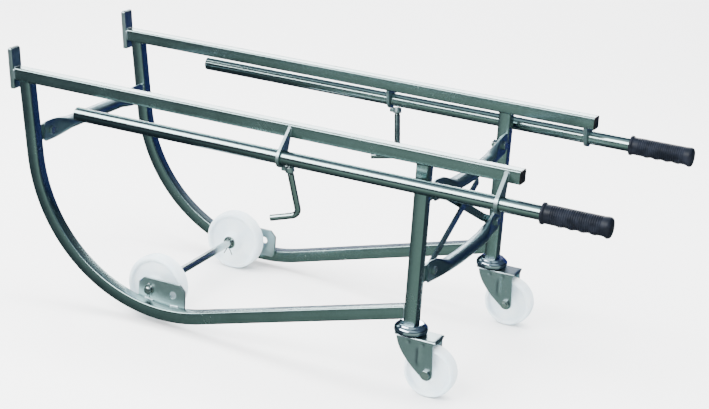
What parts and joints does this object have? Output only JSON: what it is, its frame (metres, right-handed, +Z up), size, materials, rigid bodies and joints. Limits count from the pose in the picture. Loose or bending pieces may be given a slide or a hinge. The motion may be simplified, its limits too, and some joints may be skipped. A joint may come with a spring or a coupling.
{
  "type": "drum cradle truck",
  "caption": "Tilting cradle truck for a steel drum: rails with toe lugs on curved bows, plain front wheels, swivel casters, pull-out handles with clamps.",
  "frame": {"origin": "on the floor, in the middle of the footprint", "axes": "+X along the rails, from the toe lugs to the handles; +Y across, towards the side named right; +Z up"},
  "size_m": [1.2732, 0.534, 0.5104],
  "materials": {
    "frame_zinc": "bright zinc plate on square tube and flats, faint spangle, satin",
    "tube_zinc": "bright zinc plate on round tube, glossier",
    "bar_zinc": "zinc plated round bar",
    "pressed_zinc": "zinc plated pressed sheet, satin",
    "bright_zinc": "bright plated pressed cup",
    "hardware": "zinc plated fasteners",
    "ball_steel": "ground bearing steel",
    "nylon": "white cast nylon, slightly translucent, waxy",
    "rubber": "blue-black ribbed rubber, satin",
    "black_plastic": "black moulded plastic"
  },
  "bodies": {
    "frame": {"axle_washers": "hardware", "brace_bar_front": "frame_zinc", "brace_bar_rear": "frame_zinc", "cross_bolts": "hardware", "cross_nuts": "hardware", "cross_tube_tabs": "frame_zinc", "front_axle": "hardware", "front_cross_tube": "tube_zinc", "left_axle_bracket": "frame_zinc", "left_bow_tube": "frame_zinc", "left_caster_balls": "ball_steel", "left_caster_cup": "bright_zinc", "left_caster_stem": "hardware", "left_clamp_boss": "frame_zinc", "left_mid_guide": "frame_zinc", "left_rail_end_plug": "black_plastic", "left_rear_guide": "frame_zinc", "left_rear_post": "frame_zinc", "left_stem_block": "hardware", "left_toe_lug": "frame_zinc", "left_top_rail": "frame_zinc", "rear_lower_cross_tube": "tube_zinc", "rear_upper_cross_tube": "tube_zinc", "right_axle_bracket": "frame_zinc", "right_bow_tube": "frame_zinc", "right_caster_balls": "ball_steel", "right_caster_cup": "bright_zinc", "right_caster_stem": "hardware", "right_clamp_boss": "frame_zinc", "right_mid_guide": "frame_zinc", "right_rail_end_plug": "black_plastic", "right_rear_guide": "frame_zinc", "right_rear_post": "frame_zinc", "right_stem_block": "hardware", "right_toe_lug": "frame_zinc", "right_top_rail": "frame_zinc", "split_pins": "hardware"},
    "left_handle": {"left_handle_tube": "tube_zinc", "left_handle_grip": "rubber"},
    "left_clamp": {"left_clamp_crank": "bar_zinc"},
    "left_swivel": {"left_caster_fork": "pressed_zinc", "left_caster_bush": "ball_steel", "left_caster_axle_bolt": "hardware", "left_caster_axle_nut": "hardware"},
    "left_caster_roller": {"left_caster_wheel": "nylon"},
    "left_front_roller": {"left_front_wheel": "nylon"},
    "right_handle": {"right_handle_tube": "tube_zinc", "right_handle_grip": "rubber"},
    "right_clamp": {"right_clamp_crank": "bar_zinc"},
    "right_swivel": {"right_caster_fork": "pressed_zinc", "right_caster_bush": "ball_steel", "right_caster_axle_bolt": "hardware", "right_caster_axle_nut": "hardware"},
    "right_caster_roller": {"right_caster_wheel": "nylon"},
    "right_front_roller": {"right_front_wheel": "nylon"}
  },
  "joints": [
    {"name": "left_handle_slide", "type": "slide", "parent": "frame", "child": "left_handle", "axis": [1, 0, 0], "range_m": [-0.075, 0.41]},
    {"name": "left_clamp_turn", "type": "hinge", "parent": "frame", "child": "left_clamp", "pos_m": [0.0066, -0.2465, 0.4139], "axis": [0.1644, 0.1934, -0.9672], "range_deg": [0, 360]},
    {"name": "left_caster_swivel", "type": "hinge", "parent": "frame", "child": "left_swivel", "pos_m": [0.2621, -0.206, 0.1165], "axis": [0, 0, 1], "continuous": true},
    {"name": "left_caster_spin", "type": "hinge", "parent": "left_swivel", "child": "left_caster_roller", "pos_m": [0.3081, -0.206, 0.05], "axis": [0, 1, 0], "continuous": true},
    {"name": "left_front_wheel_spin", "type": "hinge", "parent": "frame", "child": "left_front_roller", "pos_m": [-0.3104, -0.1591, 0.0625], "axis": [0, 1, 0], "continuous": true},
    {"name": "right_handle_slide", "type": "slide", "parent": "frame", "child": "right_handle", "axis": [1, 0, 0], "range_m": [-0.082, 0.403]},
    {"name": "right_clamp_turn", "type": "hinge", "parent": "frame", "child": "right_clamp", "pos_m": [0.0066, 0.2465, 0.4139], "axis": [0.1644, -0.1934, -0.9672], "range_deg": [0, 360]},
    {"name": "right_caster_swivel", "type": "hinge", "parent": "frame", "child": "right_swivel", "pos_m": [0.2621, 0.206, 0.1165], "axis": [0, 0, 1], "continuous": true},
    {"name": "right_caster_spin", "type": "hinge", "parent": "right_swivel", "child": "right_caster_roller", "pos_m": [0.3081, 0.206, 0.05], "axis": [0, 1, 0], "continuous": true},
    {"name": "right_front_wheel_spin", "type": "hinge", "parent": "frame", "child": "right_front_roller", "pos_m": [-0.3104, 0.1591, 0.0625], "axis": [0, 1, 0], "continuous": true}
  ]
}
